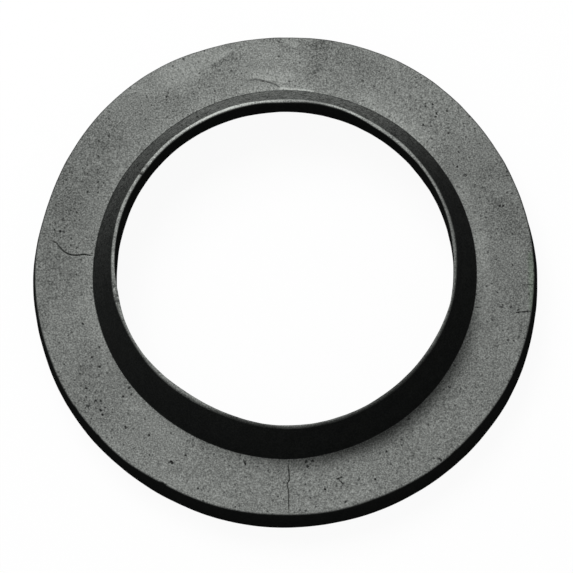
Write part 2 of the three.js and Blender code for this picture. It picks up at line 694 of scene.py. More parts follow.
@dataclass(frozen=True)
class BaseSeal:
    """The moulded ring: its section carried round the axis, with its faults and wear.

    Attributes:
        section: The ring's section.
        faults: What moulding and use have done to it.
        reach: How far the wear reaches.
        even_columns: Columns of points round the ring, before those beside the faults.
        lip_power: Power with which the lip's lean grows from the throat up to the rim.
        face_waves: Wavelength and size of the waves in the faces.
        underside_calm: Share of those waves that the underside goes without.
        rim_calm: Share of them that the rim goes without.
        rim_waves: Wavelength and size of the waves in the rim's top.
        torn_waves: The same where the rim is torn.
        torn_loss: How much lower the rim stands there.
        face_onset: Shares of the turn onto the face between which the bloom sets in.
        bloom_round: How much more bloom the flange's face has, as a share, round the ring.
        painted_shade_and_light_at_foot: Painted shade and highlight on the face beside the collar, as a
            share of its bloom: painted shade in front, where the collar's shadow falls, and a painted
            bright band behind.
        chalk_and_highlight_on_rim: How much of the rim the chalk covers, round the ring; its peak on the
            side of the lamp is a painted highlight.
        chalk_and_light_on_collar: How pale the collar's outside is, round the ring: partly chalk, and
            partly painted light, high on the lit side behind and almost nil on the shaded side in front.
        chalk_left_in_foot_shade: What is left of the collar's chalk at the very foot, as a share; the dip
            is painted shade in the corner.
        chalk_up_collar: What the collar's chalk is multiplied by at its foot and at the rim.
    """

    section: Section = Section()
    faults: Faults = Faults()
    reach: Reach = Reach()
    even_columns: int = 620
    lip_power: float = 1.6
    face_waves: Course = ((17.0, 0.035), (6.0, 0.012), (2.6, 0.006))
    underside_calm: float = 0.9
    rim_calm: float = 0.8
    rim_waves: Course = ((9.0, 0.03), (1.8, 0.012))
    torn_waves: Course = ((1.1, 0.09),)
    torn_loss: float = 0.05
    face_onset: Span = (0.3, 0.9)
    chalk_left_in_foot_shade: float = 0.45
    chalk_up_collar: Span = (1.15, 0.85)
    bloom_round: Course = (
        (0, -0.09), (15, -0.06), (30, -0.11), (45, 0.05), (60, 0.08), (75, 0.0), (90, 0.12), (105, 0.05),
        (120, 0.07), (135, -0.02), (150, -0.09), (165, -0.11), (180, -0.07), (195, -0.02), (210, -0.08),
        (225, 0.04), (240, 0.07), (255, 0.06), (270, 0.08), (285, 0.11), (300, 0.03), (315, 0.03),
        (330, -0.02), (345, -0.05),
    )
    # Painted light beside the collar's foot: the values below nil in front are painted shade where the
    # collar's shadow falls, those above nil behind are a painted bright band.
    painted_shade_and_light_at_foot: Course = (
        (0, 0.14), (15, 0.08), (30, 0.0), (45, 0.18), (60, 0.25), (75, 0.28), (90, 0.32), (105, 0.24),
        (120, 0.18), (150, 0.2), (165, 0.12), (180, 0.16), (195, 0.13), (210, 0.0), (225, -0.07),
        (240, -0.1), (255, -0.16), (270, -0.43), (285, -0.75), (300, -0.8), (315, -0.74), (330, -0.6),
        (345, -0.35),
    )
    # Chalk on the rim, round the ring; the peak from 104 to 120 degrees, on the side of the lamp, is a
    # painted highlight.
    chalk_and_highlight_on_rim: Course = (
        (0, 0.26), (20, 0.27), (45, 0.46), (60, 0.5), (70, 0.72), (80, 0.39), (90, 0.5), (104, 0.92),
        (112, 1.0), (120, 0.86), (135, 0.58), (150, 0.45), (163, 0.42), (180, 0.42), (192, 0.3),
        (200, 0.36), (220, 0.34), (235, 0.32), (243, 0.28), (252, 0.14), (262, 0.1), (270, 0.2),
        (285, 0.17), (300, 0.1), (315, 0.09), (322, 0.1), (330, 0.17), (345, 0.24),
    )
    # Pale coat on the collar, round the ring: partly chalk, and partly painted light, high behind where
    # the lamp lights it and almost nil on the shaded front.
    chalk_and_light_on_collar: Course = (
        (0, 0.004), (15, 0.008), (30, 0.014), (45, 0.05), (60, 0.115), (75, 0.162), (98, 0.16),
        (120, 0.135), (135, 0.09), (150, 0.058), (165, 0.033), (175, 0.016), (185, 0.006), (200, 0.001),
        (270, 0.001), (330, 0.001),
    )

    @cached_property
    def outline(self) -> Outline:
        """The section's outline, the grid's rows."""
        return self.section.outline()

    @cached_property
    def columns(self) -> np.ndarray:
        """Angles of the grid's columns before they bend with the cracks, in rising order.

        Returns:
            Even angles, and close ones beside each crack and in the torn stretches.
        """
        step = FULL_TURN / self.even_columns
        angles = np.arange(self.even_columns) * step
        torn = [angles[(angles > tear.start) & (angles < tear.end)] for tear in self.faults.tears]
        close = [stretch + step / 2.0 for stretch in torn]
        for crack in self.faults.cracks:
            clear = math.degrees(crack.clear / crack.middle_radius)
            angles = angles[np.abs(turn_between(angles, crack.middle_angle)) > clear]
            close.append(crack.columns())
        return np.sort(np.concatenate([angles, *close]))

    @cached_property
    def angles(self) -> np.ndarray:
        """Angles of the grid's points.

        Returns:
            The columns' angles in each row, bent to run along the cracks.
        """
        angles = np.repeat(self.columns[:, None], len(self.outline.radius), axis=1)
        for crack in self.faults.cracks:
            angles = angles + crack.bend(self.columns, self.outline.radius)
        return angles

    def surface(self) -> Surface:
        """Carry the section round the ring and add the faults.

        Cracks, the fold and the swell move the faces along the section's normal. Notches move their edge
        inwards and down.

        Returns:
            The surface in millimetres.
        """
        outline = self.outline
        radius = outline.radius + self.lip_lean()
        radius += self.foot_share() * smooth_round(self.angles, self.faults.collar_lean)
        radius += self.edge_shift()
        height = outline.height + self.rim_wear()
        lines = {fault.name: fault.place(self.columns, outline.radius) for fault in self.faults.lines}

        push = self.face_swell(self.placed(radius, height))
        for fault in self.faults.lines:
            push += fault.push(*np.moveaxis(lines[fault.name], -1, 0)) * outline.on(Side.FLANGE_FACE)
        radius += push * outline.normal[:, 0]
        height += push * outline.normal[:, 1]
        return Surface(self.placed(radius, height), self.finish_shares(), lines)

    def placed(self, radius: np.ndarray, height: np.ndarray) -> np.ndarray:
        """Turn radii and heights into places at the grid's angles: (r cos a, r sin a, h)."""
        turn = np.radians(self.angles)
        return np.stack(np.broadcast_arrays(radius * np.cos(turn), radius * np.sin(turn), height), axis=-1)

    def lip_share(self) -> np.ndarray:
        """Give how far each row leans with the lip, from 0 at the throat's height to 1 at the rim."""
        above = (self.outline.height - self.section.throat_height) / self.section.bore_length
        return np.clip(above, 0.0, 1.0) ** self.lip_power

    def throat_share(self) -> np.ndarray:
        """Give how near each row is to the bore's lower edge.

        Returns:
            For each row, 1 at that edge, and 0 at the rim, at the mouth and outside the bore.
        """
        section = self.section
        outline = self.outline
        above = (outline.height - section.throat_height) / section.bore_length
        below = (section.throat_height - outline.height) / section.throat_height
        inside = outline.on(Side.BORE) + outline.on(Side.HOLLOW)
        return np.clip(1.0 - np.maximum(above, below), 0.0, 1.0) * inside

    def foot_share(self) -> np.ndarray:
        """Give how near each row is to the collar's foot.

        Returns:
            For each row, 1 at the foot, and 0 at the rim and out on the face.
        """
        section = self.section
        outline = self.outline
        foot = section.collar_foot_radius
        above = (outline.height - section.flange_thickness) / section.collar_height
        up_collar = outline.on(Side.COLLAR) * np.clip(1.0 - above, 0.0, 1.0)
        beside = smooth_step(outline.radius, foot, foot + self.reach.foot_lean)
        return up_collar + outline.on(Side.FLANGE_FACE) * (1.0 - beside)

    def inner_share(self) -> np.ndarray:
        """Give where each row is across the rim's land, from 0 outside to 1 inside."""
        section = self.section
        return np.clip((section.rim_outer_radius - self.outline.radius) / section.rim_land, 0.0, 1.0)

    def lip_lean(self) -> np.ndarray:
        """Work out how far the lip leans out: a share of its inner and its outer edge's lean.

        Returns:
            The shift in radius over the grid.
        """
        section = self.section
        faults = self.faults
        inner = self.inner_share()
        lean = inner * smooth_round(self.angles, faults.lip_inside)
        lean += (1.0 - inner) * smooth_round(self.angles, faults.lip_outside)
        shift = lean * self.lip_share()
        shift += self.throat_share() * smooth_round(self.angles, faults.throat_lean)
        near_top = nearing(self.outline.height, section.total_height, self.reach.rim_notch)
        cuts = all_cuts(faults.rim_notches, self.angles, section.rim_outer_radius)
        return shift - cuts * (near_top * (1.0 - inner))

    def rim_wear(self) -> np.ndarray:
        """Work out how the rim's top wanders up and down, with its nicks, breaks and torn stretches.

        Returns:
            The shift in height over the grid.
        """
        section = self.section
        faults = self.faults
        rim = self.placed(self.outline.radius, self.outline.height)
        wander = swell(rim, self.rim_waves, seed=41)
        wander += faults.torn(self.angles) * (swell(rim, self.torn_waves, seed=43) - self.torn_loss)
        outer = 1.0 - self.inner_share()
        wander -= all_cuts(faults.rim_notches, self.angles, section.rim_outer_radius) * outer
        wander -= all_cuts(faults.rim_breaks, self.angles, section.rim_outer_radius)
        return wander * nearing(self.outline.height, section.total_height, self.reach.rim_wander)

    def edge_shift(self) -> np.ndarray:
        """Work out how the flange's edge wanders: its upper and lower edge's lean, mixed by height.

        Returns:
            The shift in radius over the grid.
        """
        section = self.section
        outline = self.outline
        faults = self.faults
        high = np.clip(outline.height / section.flange_thickness, 0.0, 1.0)
        lean = high * smooth_round(self.angles, faults.edge_lean)
        lean += (1.0 - high) * smooth_round(self.angles, faults.foot_lean)
        near_edge = nearing(outline.radius, section.outer_radius, self.reach.edge_lean)
        top_edge = near_edge * nearing(outline.height, section.flange_thickness, self.reach.notch_down)
        top_edge *= nearing(outline.radius, section.outer_radius, self.reach.notch_inwards)
        cuts = all_cuts(faults.edge_notches, self.angles, section.outer_radius)
        return lean * near_edge - cuts * top_edge

    def face_swell(self, points: np.ndarray) -> np.ndarray:
        """Work out how the faces wander from true along their normals.

        Args:
            points: Places of the grid's points.

        Returns:
            The push over the grid. The underside and the thin rim hardly move.
        """
        on_underside = self.underside_calm * self.outline.on(Side.UNDERSIDE)
        on_rim = self.rim_calm * self.outline.on(Side.RIM)
        return swell(points, self.face_waves, seed=11) * (1.0 - on_underside - on_rim)

    def finish_shares(self) -> dict[str, np.ndarray]:
        """Work out how far each finish covers the surface.

        Returns:
            Named fields: the bloomed face, how much more bloom it has in places with the painted shade and
            highlight beside the collar's foot, the torn stretches of the rim, the chalk on the rim with
            its painted highlight, and the chalk and painted light on the collar.
        """
        section = self.section
        outline = self.outline
        face = smooth_step(outline.on(Side.FLANGE_FACE), *self.face_onset) * np.ones_like(self.angles)
        # Painted shade in front of the collar's foot and a painted bright band behind it, added to the
        # bloom's own unevenness round the ring.
        beside_foot = (outline.radius - section.collar_foot_radius) / self.reach.painted_foot_light
        bloom_and_painted_light = np.exp(-(beside_foot ** 2)) * smooth_round(self.angles, self.painted_shade_and_light_at_foot)
        bloom_and_painted_light += smooth_round(self.angles, self.bloom_round)

        rim = nearing(outline.height, section.total_height, self.reach.rim_chalk_and_highlight)
        # The rim's chalk, with its painted highlight on the side of the lamp.
        rim_chalk_and_highlight = rim * smooth_round(self.angles, self.chalk_and_highlight_on_rim)
        for notch in self.faults.rim_breaks:
            rim_chalk_and_highlight *= 1.0 - notch.cut(self.angles, section.rim_outer_radius) / notch.depth

        # The collar's chalk dips at its foot: painted shade in the corner where the collar meets the face.
        above_foot = outline.height - section.flange_thickness
        clear = smooth_step(above_foot, *self.reach.collar_foot_shade)
        collar = outline.on(Side.COLLAR) * (self.chalk_left_in_foot_shade + (1.0 - self.chalk_left_in_foot_shade) * clear)
        at_foot, at_rim = self.chalk_up_collar
        collar *= at_foot + (at_rim - at_foot) * above_foot / section.collar_height
        return {
            "bloomed_face": face,
            "bloom_and_painted_light": face * bloom_and_painted_light,
            "torn_rim": rim * self.faults.torn(self.angles),
            "rim_chalk_and_highlight": rim_chalk_and_highlight,
            "collar_chalk_and_light": collar * smooth_round(self.angles, self.chalk_and_light_on_collar),
        }

    def build(self, finish: "BloomedRubber") -> bpy.types.Object:
        """Make the ring, dress it, and tell the frame what it stands for.

        Args:
            finish: The finish that the ring wears.

        Returns:
            The ring's object.
        """
        seal = bpy.data.objects.new("moulded_ring", self.surface().mesh("moulded_ring"))
        bpy.context.scene.collection.objects.link(seal)
        seal.data.materials.append(finish.material(self.faults))
        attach(seal, "root")
        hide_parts("base_seal")
        return seal


# Shader graphs

class Socket:
    """An output of a shader node, on which arithmetic adds Math nodes."""

    def __init__(self, graph: "Graph", link: bpy.types.NodeSocket) -> None:
        """Wrap a node's output, in the graph that the node is in."""
        self.graph = graph
        self.link = link

    def __add__(self, other: "Socket | float") -> "Socket":
        """Add."""
        return self.graph.math("ADD", self, other)

    __radd__ = __add__

    def __sub__(self, other: "Socket | float") -> "Socket":
        """Subtract."""
        return self.graph.math("SUBTRACT", self, other)

    def __rsub__(self, other: "Socket | float") -> "Socket":
        """Subtract from a number."""
        return self.graph.math("SUBTRACT", other, self)

    def __mul__(self, other: "Socket | float") -> "Socket":
        """Multiply."""
        return self.graph.math("MULTIPLY", self, other)

    __rmul__ = __mul__

    def __pow__(self, other: "Socket | float") -> "Socket":
        """Raise to a power."""
        return self.graph.math("POWER", self, other)

    def __abs__(self) -> "Socket":
        """Drop the sign."""
        return self.graph.math("ABSOLUTE", self)


class Graph:
    """The node tree of a material or the world."""

    def __init__(self, tree: bpy.types.NodeTree) -> None:
        """Empty a node tree, to fill it anew."""
        tree.nodes.clear()
        self.tree = tree

    def node(
        self, kind: str, settings: dict | None = None, sockets: dict | None = None,
    ) -> bpy.types.Node:
        """Add a node.

        Args:
            kind: The node's type.
            settings: The node's own settings, which are set first.
            sockets: Values or links of its inputs, by name or number.

        Returns:
            The node.
        """
        node = self.tree.nodes.new(kind)
        for name, value in (settings or {}).items():
            setattr(node, name, value)
        for name, value in (sockets or {}).items():
            if isinstance(value, Socket):
                self.tree.links.new(value.link, node.inputs[name])
            else:
                node.inputs[name].default_value = value
        return node

    def output(self, node: bpy.types.Node, name: str | int = 0) -> Socket:
        """Wrap one output of a node."""
        return Socket(self, node.outputs[name])

    def math(self, operation: str, *values: Socket | float) -> Socket:
        """Add a Math node and give its result."""
        return self.output(self.node("ShaderNodeMath", {"operation": operation}, dict(enumerate(values))))

    def vector_math(self, operation: str, *values: Socket | tuple, result: str = "Vector") -> Socket:
        """Add a Vector Math node and give one of its results."""
        node = self.node("ShaderNodeVectorMath", {"operation": operation}, dict(enumerate(values)))
        return self.output(node, result)

    def scaled(self, vector: Socket | tuple, factor: Socket | float) -> Socket:
        """Scale a vector by a number."""
        node = self.node("ShaderNodeVectorMath", {"operation": "SCALE"}, {0: vector, "Scale": factor})
        return self.output(node)

    def step(self, value: Socket, low: float, high: float) -> Socket:
        """Ease from 0 to 1 while a value rises or falls from one place to another.

        Args:
            value: The value.
            low: Where the result is 0.
            high: Where the result is 1. It may lie below the other.

        Returns:
            The eased share.
        """
        (first, at_first), (last, at_last) = sorted(((low, 0.0), (high, 1.0)))
        ends = {"From Min": first, "From Max": last, "To Min": at_first, "To Max": at_last}
        settings = {"interpolation_type": "SMOOTHSTEP"}
        return self.output(self.node("ShaderNodeMapRange", settings, {"Value": value, **ends}))

    def mixed_colour(self, share: Socket, first: Socket | Colour, second: Socket | Colour) -> Socket:
        """Mix two colours.

        Args:
            share: How much of the second colour there is.
            first: The first colour.
            second: The second colour.

        Returns:
            The mixed colour.
        """
        colours = [value if isinstance(value, Socket) else (*value, 1.0) for value in (first, second)]
        node = self.node("ShaderNodeMix", {"data_type": "RGBA"}, {0: share, 6: colours[0], 7: colours[1]})
        return self.output(node, 2)

    def noise(self, place: Socket, cell: float, detail: float = 2.0, roughness: float = 0.5) -> Socket:
        """Give noise about 0, roughly between -0.5 and 0.5, in cells of a size in millimetres."""
        sockets = {"Vector": place, "Scale": 1.0 / cell, "Detail": detail, "Roughness": roughness}
        return self.output(self.node("ShaderNodeTexNoise", None, sockets)) - 0.5

    def attribute(self, name: str, result: str = "Fac") -> Socket:
        """Read one of the mesh's attributes, as its Fac or its Vector."""
        return self.output(self.node("ShaderNodeAttribute", {"attribute_name": name}), result)

    def parts(self, vector: Socket) -> tuple[Socket, Socket, Socket]:
        """Split a vector into its three parts."""
        node = self.node("ShaderNodeSeparateXYZ", None, {0: vector})
        return self.output(node, 0), self.output(node, 1), self.output(node, 2)


# Marks on the flange's face

@dataclass(frozen=True)
class Mark:
    """A mark on the flange's face, along a straight line or about a point.

    Attributes:
        start: Where it starts, in millimetres across the face.
        end: Where it ends.
        reach: How far from the line it fades out.
        bloom: What it adds to the bloom there, as a share of the face's own.
        depth: How far it goes into the face.
        crowd: What it adds to the chance of a pore.
        core: Share of its reach over which it is at its full strength.
    """

    start: tuple[float, float]
    end: tuple[float, float]
    reach: float
    bloom: float = 0.0
    depth: float = 0.0
    crowd: float = 0.0
    core: float = 0.25

    def mask(self, graph: Graph, flat: Socket, wobble: Socket) -> Socket:
        """Draw the mark.

        Args:
            graph: The material's graph.
            flat: Place in millimetres, without its height.
            wobble: What a pit's or scratch's edge wanders by, in millimetres.

        Returns:
            How far a point is in the mark, from 0 to 1.
        """
        distance = self.distance(graph, flat)
        if self.depth:
            distance = distance + wobble
        return graph.step(distance, self.reach, self.core * self.reach)

    def distance(self, graph: Graph, flat: Socket) -> Socket:
        """Measure the distance from the mark's line.

        The nearest point of the line from a to b is a + t (b - a), where t is (p - a).(b - a) over
        |b - a|^2, held between 0 and 1.

        Args:
            graph: The material's graph.
            flat: Place in millimetres, without its height.

        Returns:
            The distance in millimetres.
        """
        start = (*self.start, 0.0)
        run = (self.end[0] - self.start[0], self.end[1] - self.start[1], 0.0)
        length_squared = run[0] ** 2 + run[1] ** 2
        if length_squared == 0.0:
            return graph.vector_math("DISTANCE", flat, start, result="Value")
        offset = graph.vector_math("SUBTRACT", flat, start)
        share = graph.vector_math("DOT_PRODUCT", offset, run, result="Value") * (1.0 / length_squared)
        share = graph.math("MINIMUM", graph.math("MAXIMUM", share, 0.0), 1.0)
        return graph.vector_math("DISTANCE", offset, graph.scaled(run, share), result="Value")


def pit(x: float, y: float, reach: float = 0.34, bloom: float = -1.1) -> Mark:
    """Describe a small open pore in the flange's face."""
    return Mark((x, y), (x, y), reach, bloom, depth=0.06)


def scratch(x: float, y: float, to_x: float, to_y: float, bloom: float = -0.7) -> Mark:
    """Describe a fine scratch in the flange's face."""
    return Mark((x, y), (to_x, to_y), 0.22, bloom, depth=0.04)


def cloud(x: float, y: float, to_x: float, to_y: float, reach: float, bloom: float) -> Mark:
    """Describe a soft patch where the bloom is thicker or thinner."""
    return Mark((x, y), (to_x, to_y), reach, bloom)


def crowd(x: float, y: float, to_x: float, to_y: float, reach: float, chance: float = 0.35) -> Mark:
    """Describe a patch where small pores lie close together."""
    return Mark((x, y), (to_x, to_y), reach, crowd=chance)


PITS = tuple(pit(*place) for place in (
    (-35.9, -9.4), (-32.9, -13.8), (-34.2, -15.6), (-32.8, -17.4), (-27.6, -21.2, 0.46), (-27.2, -22.5),
    (-28.1, -28.5, 0.42), (-24.0, -30.0), (-19.9, -35.1, 0.4), (-17.5, -33.7), (-15.3, -39.8),
    (-6.9, -35.1), (5.0, -34.7, 0.45), (4.2, -35.7, 0.4), (3.9, -34.9, 0.45), (18.1, -33.0),
    (22.1, -27.0), (29.3, -21.1), (10.8, -42.2, 0.4), (16.1, -38.1), (27.7, -34.5, 0.4), (27.2, 29.2),
    (7.2, -39.9, 0.35), (-35.2, -21.3), (-31.8, -24.9), (26.6, 31.6, 0.28), (25.3, 31.2, 0.3),
    (27.3, 29.9, 0.28), (-35.2, -23.0), (-34.9, -24.6, 0.4), (-32.6, -25.4, 0.38), (-32.3, -26.2, 0.36),
    (-33.5, -23.7), (-32.6, -23.7), (-33.0, -19.0, 0.36), (-28.6, -22.9), (-39.5, 9.9, 0.42, -0.7),
    (-40.1, 7.8, 0.3), (-41.1, 8.0, 0.3), (24.9, 27.7, 0.28), (29.4, 26.2, 0.3), (32.6, 25.5, 0.3),
    (31.0, 19.9, 0.3), (32.4, 18.3, 0.38), (38.6, 12.5, 0.3), (39.1, 12.5, 0.3), (40.4, -6.3, 0.36),
    (36.3, 3.9), (36.1, -2.4), (-18.1, 40.1, 0.38),
))
SCRATCHES = tuple(scratch(*place) for place in (
    (41.4, -7.35, 43.8, -7.08, -0.9), (41.4, -7.35, 41.8, -6.62, -0.6), (42.3, -1.95, 42.8, -2.25, -0.6),
    (42.8, -2.25, 44.5, -2.15, -0.45), (34.05, -6.4, 34.85, -6.35, -0.8),
    (38.3, -6.32, 38.9, -6.32, -0.7), (-40.0, 7.8, -39.3, 7.7, -0.6), (-20.5, -35.1, -20.0, -34.8, -0.8),
    (-20.0, -34.8, -19.4, -35.2, -0.8), (30.9, 16.2, 31.6, 15.9, -0.6), (35.4, 16.0, 36.0, 15.7, -0.6),
    (-7.2, -34.6, -6.8, -35.4, -0.8), (-20.5, 34.6, -21.2, 33.0, -0.4), (-21.2, 33.0, -21.1, 32.0, -0.4),
    (37.11, -13.79, 38.0, -13.42, -0.4), (39.19, 18.14, 40.09, 18.2, -0.4),
    (9.38, -38.05, 10.08, -37.72, -1.3), (9.6, -38.1, 10.43, -38.99, -0.7),
    (10.43, -38.99, 9.9, -39.7, -0.45), (9.0, -38.6, 9.25, -39.45, -0.3),
    (-38.5, -11.66, -37.71, -10.92, -0.35), (25.6, 28.9, 26.7, 28.6, -0.5),
    (26.7, 28.6, 26.9, 27.7, -0.4),
))
CLOUDS = tuple(cloud(*place) for place in (
    (-13.0, 41.6, -20.5, 36.8, 4.0, 0.3), (-6.0, 37.3, 0.5, 36.9, 1.6, 0.26),
    (-5.0, 41.5, 1.0, 39.0, 4.0, 0.12), (27.5, 23.0, 15.5, 32.3, 2.5, 0.16),
    (35.4, -6.0, 35.6, 6.0, 2.2, 0.2), (35.0, 6.0, 31.5, 16.5, 2.0, 0.16),
    (-35.0, -5.0, -31.0, -17.0, 2.2, 0.14), (-27.0, -24.0, -20.0, -30.0, 2.6, 0.1),
    (-21.0, -38.5, -10.0, -42.5, 2.6, 0.12), (-32.5, 26.0, -39.0, 14.0, 5.5, -0.15),
    (-39.5, 13.0, -42.0, 4.0, 4.5, -0.1), (-42.0, 2.0, -42.5, -4.0, 3.5, -0.1),
    (38.0, 12.0, 41.0, 8.5, 3.2, -0.2), (36.5, 18.5, 39.5, 19.0, 2.6, -0.12),
    (42.0, 0.0, 42.5, -5.0, 3.0, -0.08), (7.0, 43.5, 5.0, 38.0, 2.4, -0.2),
    (11.0, 41.0, 14.5, 38.5, 3.2, -0.14), (-21.5, 33.2, -18.5, 30.8, 2.8, -0.12),
    (-12.7, 38.8, -9.5, 41.0, 0.85, -0.38), (-12.7, 39.7, -8.7, 42.4, 0.55, 0.3),
    (-35.3, 19.6, -33.0, 20.7, 0.45, 0.22), (-33.0, 20.7, -30.4, 22.8, 0.45, 0.22),
    (-35.5, -25.0, -32.0, -26.5, 2.2, -0.1), (-0.3, 44.0, 2.3, 42.5, 0.6, 0.22),
    # The cloud from (-0.6, 34.65) to (5.1, 34.1) is a painted highlight along the collar's foot.
    (-0.3, 42.6, 2.8, 41.5, 0.8, -0.2), (-0.6, 34.65, 5.1, 34.1, 0.35, 0.7),
    (29.2, -31.8, 30.0, -30.8, 0.9, -0.25), (-5.3, 37.0, -2.6, 36.5, 0.7, 0.22),
    (-3.5, 43.9, -0.8, 44.0, 1.0, -0.3), (-43.3, -7.0, -42.7, -10.0, 1.3, -0.26),
    (43.5, 6.5, 43.8, 3.0, 1.3, -0.22), (3.6, 42.6, 8.5, 43.0, 1.7, -0.2),
    (-39.7, 17.5, -38.6, 19.2, 1.5, -0.22), (42.6, -9.5, 42.0, -12.0, 1.3, -0.22),
    (27.7, 22.6, 28.8, 23.2, 1.2, -0.22), (-35.2, -17.8, -34.5, -20.0, 1.7, -0.14),
    (35.3, -6.4, 35.5, -8.6, 1.3, 0.24), (31.4, 15.8, 32.3, 14.4, 1.2, 0.26),
    (11.2, -41.4, 14.8, -40.0, 1.5, 0.22), (37.0, -2.6, 37.2, -4.2, 1.2, 0.2),
    (-27.0, 34.5, -22.2, 33.6, 1.4, 0.2), (-36.9, -6.0, -36.8, -7.5, 1.2, 0.2),
    (-35.3, 2.5, -35.0, 3.7, 1.1, 0.18), (36.2, 11.4, 36.0, 12.6, 1.2, 0.18),
    (-7.9, 37.6, -7.2, 38.6, 1.1, 0.22), (34.9, -11.4, 34.6, -12.8, 1.2, 0.16),
))
CROWDS = tuple(crowd(*place) for place in (
    (-35.6, -20.6, -32.2, -24.5, 3.2), (24.5, 31.5, 28.0, 27.5, 4.0), (-39.5, 9.0, -37.0, 11.0, 3.4),
    (4.0, -39.0, 12.0, -41.0, 3.0, 0.25), (-24.0, 36.0, -17.0, 40.0, 3.0, 0.2),
))


# Finish of the ring

@dataclass(frozen=True)
class Pores:
    """Small open pores, scattered over the flange's face.

    Attributes:
        cell: Size of the cells that hold a pore each at most.
        edge: Distances from a pore's middle between which it comes in.
        growth: How much further the widest pores reach.
        chance: Draws between which a cell's pore comes in.
        faintest: How dark the faintest pore is.
        darker: How much darker the darkest is.
    """

    cell: float = 0.95
    edge: Span = (0.19, 0.07)
    growth: float = 0.08
    chance: Span = (0.66, 0.86)
    faintest: float = 0.22
    darker: float = 0.54

    def mask(self, graph: Graph, place: Socket, crowding: Socket) -> Socket:
        """Draw the pores, as dots in some of the cells of a Voronoi pattern.

        Args:
            graph: The material's graph.
            place: Place in millimetres.
            crowding: What is added to each cell's draw.

        Returns:
            How far a point is in a pore, from 0 to 1.
        """
        cells = graph.node("ShaderNodeTexVoronoi", {"voronoi_dimensions": "2D"},
                           {"Vector": place, "Scale": 1.0 / self.cell})
        draw, size, strength = graph.parts(graph.output(cells, "Color"))
        distance = self.cell * graph.output(cells, "Distance") - self.growth * size
        dot = graph.step(distance, *self.edge)
        return dot * graph.step(draw + crowding, *self.chance) * (self.faintest + self.darker * strength)


@dataclass(frozen=True)
class Bloom:
    """Thickness of the face's bloom: extra + (1 + grain)^2 + mottle + drift, and never below least."""

    extra: float = 0.12
    grain: float = 1.85
    mottle: float = 0.25
    drift: float = 0.2
    least: float = 0.05
    split_darkening: float = 0.73


@dataclass(frozen=True)
class Relief:
    """Heights and depths that the finish works into the surface, in millimetres."""

    grain: float = 0.022
    mottle: float = 0.03
    pore: float = 0.04
    split: float = 0.08


